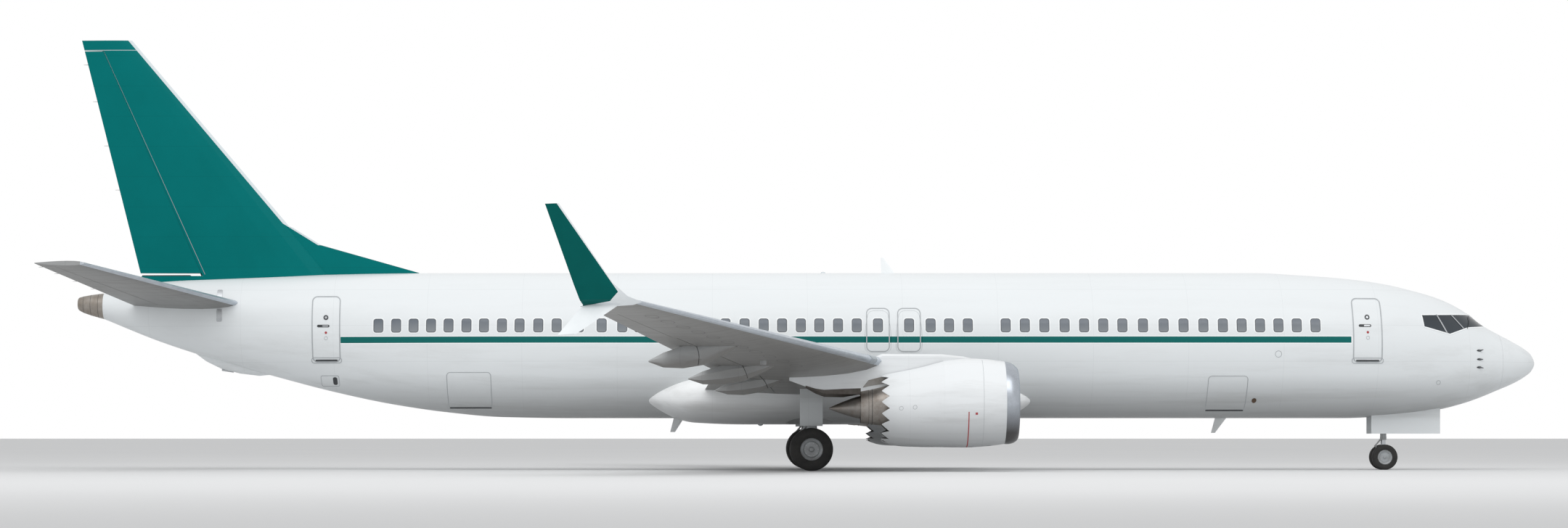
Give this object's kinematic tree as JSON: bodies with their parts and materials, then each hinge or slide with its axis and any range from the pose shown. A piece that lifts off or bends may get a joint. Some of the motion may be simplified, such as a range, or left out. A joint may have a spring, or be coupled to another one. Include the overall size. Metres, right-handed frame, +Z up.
{
  "type": "twin-jet airliner",
  "caption": "Narrow-body twin-jet airliner on its landing gear, with swept wings, split winglets, flaps, tail surfaces, overwing exits, engine fans and steered nose wheels.",
  "frame": {"origin": "on the floor, below the middle of the bounding box", "axes": "+X towards the nose, +Y to port (left wing), +Z up"},
  "size_m": [39.52, 35.9396, 11.66],
  "materials": {
    "white_paint": "glossy white aircraft enamel",
    "teal_paint": "glossy dark teal aircraft enamel",
    "wing_grey_paint": "satin mid grey aircraft enamel",
    "polished_aluminium": "polished bare sheet",
    "hot_section_metal": "heat-browned nickel alloy sheet",
    "titanium_blades": "dark satin titanium",
    "gear_paint": "light grey gear enamel",
    "tyre_rubber": "black tyre rubber",
    "dark_glass": "dark cockpit glazing over a solid backing"
  },
  "bodies": {
    "airframe": {"belly_fairing": "white_paint", "cargo_door_aft": "white_paint", "cargo_door_forward": "white_paint", "door_aft_left": "white_paint", "door_aft_right": "white_paint", "door_forward_left": "white_paint", "door_forward_right": "white_paint", "engine_core_left": "hot_section_metal", "engine_core_right": "hot_section_metal", "fan_cowl_left": "white_paint", "fan_cowl_right": "white_paint", "fin": "teal_paint", "flight_deck_glazing": "dark_glass", "fuselage": "white_paint", "inlet_lip_left": "polished_aluminium", "inlet_lip_right": "polished_aluminium", "main_gear_door_left": "white_paint", "main_gear_door_right": "white_paint", "main_gear_leg_left": "gear_paint", "main_gear_leg_right": "gear_paint", "nose_gear_door_left": "white_paint", "nose_gear_door_right": "white_paint", "nose_gear_leg": "gear_paint", "pylon_left": "white_paint", "pylon_right": "white_paint", "radome": "white_paint", "stabiliser_left": "wing_grey_paint", "stabiliser_right": "wing_grey_paint", "tail_cone": "polished_aluminium", "wing_left": "wing_grey_paint", "wing_right": "wing_grey_paint", "winglet_left": "teal_paint", "winglet_right": "teal_paint"},
    "aileron_left": {"aileron_left": "wing_grey_paint"},
    "elevator_left": {"elevator_left": "wing_grey_paint"},
    "flap_inboard_left": {"flap_inboard_left": "wing_grey_paint"},
    "flap_outboard_left": {"flap_outboard_left": "wing_grey_paint"},
    "overwing_exit_forward_left": {"overwing_exit_forward_left": "white_paint"},
    "overwing_exit_aft_left": {"overwing_exit_aft_left": "white_paint"},
    "reverser_sleeve_left": {"reverser_sleeve_left": "white_paint"},
    "fan_left": {"fan_left": "titanium_blades"},
    "aileron_right": {"aileron_right": "wing_grey_paint"},
    "elevator_right": {"elevator_right": "wing_grey_paint"},
    "flap_inboard_right": {"flap_inboard_right": "wing_grey_paint"},
    "flap_outboard_right": {"flap_outboard_right": "wing_grey_paint"},
    "overwing_exit_forward_right": {"overwing_exit_forward_right": "white_paint"},
    "overwing_exit_aft_right": {"overwing_exit_aft_right": "white_paint"},
    "reverser_sleeve_right": {"reverser_sleeve_right": "white_paint"},
    "fan_right": {"fan_right": "titanium_blades"},
    "rudder": {"rudder": "teal_paint"},
    "nose_steered": {"nose_gear_steered_leg": "gear_paint"},
    "nose_wheels": {"nose_wheels": "gear_paint", "nose_tyre_outer": "tyre_rubber", "nose_tyre_inner": "tyre_rubber"},
    "main_left_wheels": {"main_left_wheels": "gear_paint", "main_left_tyre_outer": "tyre_rubber", "main_left_tyre_inner": "tyre_rubber"},
    "main_right_wheels": {"main_right_wheels": "gear_paint", "main_right_tyre_outer": "tyre_rubber", "main_right_tyre_inner": "tyre_rubber"}
  },
  "joints": [
    {"name": "aileron_left_turn", "type": "hinge", "parent": "airframe", "child": "aileron_left", "pos_m": [-4.07428, 14.025, 3.5559], "axis": [0.2986, -0.9491, -0.1007], "range_deg": [-20, 20]},
    {"name": "elevator_left_turn", "type": "hinge", "parent": "airframe", "child": "elevator_left", "pos_m": [-18.29702, 4, 4.88853], "axis": [0.2805, -0.9526, -0.1175], "range_deg": [-25, 20]},
    {"name": "flap_inboard_left_lower", "type": "hinge", "parent": "airframe", "child": "flap_inboard_left", "pos_m": [-1.76149, 2.4, 1.49797], "axis": [0.0355, -0.9773, -0.2086], "range_deg": [0, 40]},
    {"name": "flap_outboard_left_lower", "type": "hinge", "parent": "airframe", "child": "flap_outboard_left", "pos_m": [-1.90714, 5.85, 2.20982], "axis": [0.274, -0.9528, -0.1307], "range_deg": [0, 40]},
    {"name": "overwing_exit_forward_left_open", "type": "hinge", "parent": "airframe", "child": "overwing_exit_forward_left", "pos_m": [2.705, 1.69, 4.285], "axis": [1, 0, 0], "range_deg": [0, 80]},
    {"name": "overwing_exit_aft_left_open", "type": "hinge", "parent": "airframe", "child": "overwing_exit_aft_left", "pos_m": [1.875, 1.69, 4.285], "axis": [1, 0, 0], "range_deg": [0, 80]},
    {"name": "reverser_sleeve_left_slide", "type": "slide", "parent": "airframe", "child": "reverser_sleeve_left", "axis": [-1, 0, 0], "range_m": [0, 0.5]},
    {"name": "fan_left_spin", "type": "hinge", "parent": "airframe", "child": "fan_left", "pos_m": [4.36, 4.83, 1.778], "axis": [1, 0, 0], "continuous": true},
    {"name": "aileron_right_turn", "type": "hinge", "parent": "airframe", "child": "aileron_right", "pos_m": [-4.07428, -14.025, 3.5559], "axis": [-0.2986, -0.9491, 0.1007], "range_deg": [-20, 20]},
    {"name": "elevator_right_turn", "type": "hinge", "parent": "airframe", "child": "elevator_right", "pos_m": [-18.29702, -4, 4.88853], "axis": [-0.2805, -0.9526, 0.1175], "range_deg": [-25, 20]},
    {"name": "flap_inboard_right_lower", "type": "hinge", "parent": "airframe", "child": "flap_inboard_right", "pos_m": [-1.76149, -2.4, 1.49797], "axis": [-0.0355, -0.9773, 0.2086], "range_deg": [0, 40]},
    {"name": "flap_outboard_right_lower", "type": "hinge", "parent": "airframe", "child": "flap_outboard_right", "pos_m": [-1.90714, -5.85, 2.20982], "axis": [-0.274, -0.9528, 0.1307], "range_deg": [0, 40]},
    {"name": "overwing_exit_forward_right_open", "type": "hinge", "parent": "airframe", "child": "overwing_exit_forward_right", "pos_m": [2.705, -1.69, 4.285], "axis": [-1, 0, 0], "range_deg": [0, 80]},
    {"name": "overwing_exit_aft_right_open", "type": "hinge", "parent": "airframe", "child": "overwing_exit_aft_right", "pos_m": [1.875, -1.69, 4.285], "axis": [-1, 0, 0], "range_deg": [0, 80]},
    {"name": "reverser_sleeve_right_slide", "type": "slide", "parent": "airframe", "child": "reverser_sleeve_right", "axis": [-1, 0, 0], "range_m": [0, 0.5]},
    {"name": "fan_right_spin", "type": "hinge", "parent": "airframe", "child": "fan_right", "pos_m": [4.36, -4.83, 1.778], "axis": [1, 0, 0], "continuous": true},
    {"name": "rudder_turn", "type": "hinge", "parent": "airframe", "child": "rudder", "pos_m": [-17.75085, 0, 8.32], "axis": [-0.4037, 0, 0.9149], "range_deg": [-26, 26]},
    {"name": "nose_steer", "type": "hinge", "parent": "airframe", "child": "nose_steered", "pos_m": [15.67, 0, 0.92], "axis": [0, 0, 1], "range_deg": [-78, 78]},
    {"name": "nose_wheels_spin", "type": "hinge", "parent": "nose_steered", "child": "nose_wheels", "pos_m": [15.67, 0, 0.343], "axis": [0, 1, 0], "continuous": true},
    {"name": "main_left_wheels_spin", "type": "hinge", "parent": "airframe", "child": "main_left_wheels", "pos_m": [0.07, 2.86, 0.565], "axis": [0, 1, 0], "continuous": true},
    {"name": "main_right_wheels_spin", "type": "hinge", "parent": "airframe", "child": "main_right_wheels", "pos_m": [0.07, -2.86, 0.565], "axis": [0, 1, 0], "continuous": true}
  ]
}
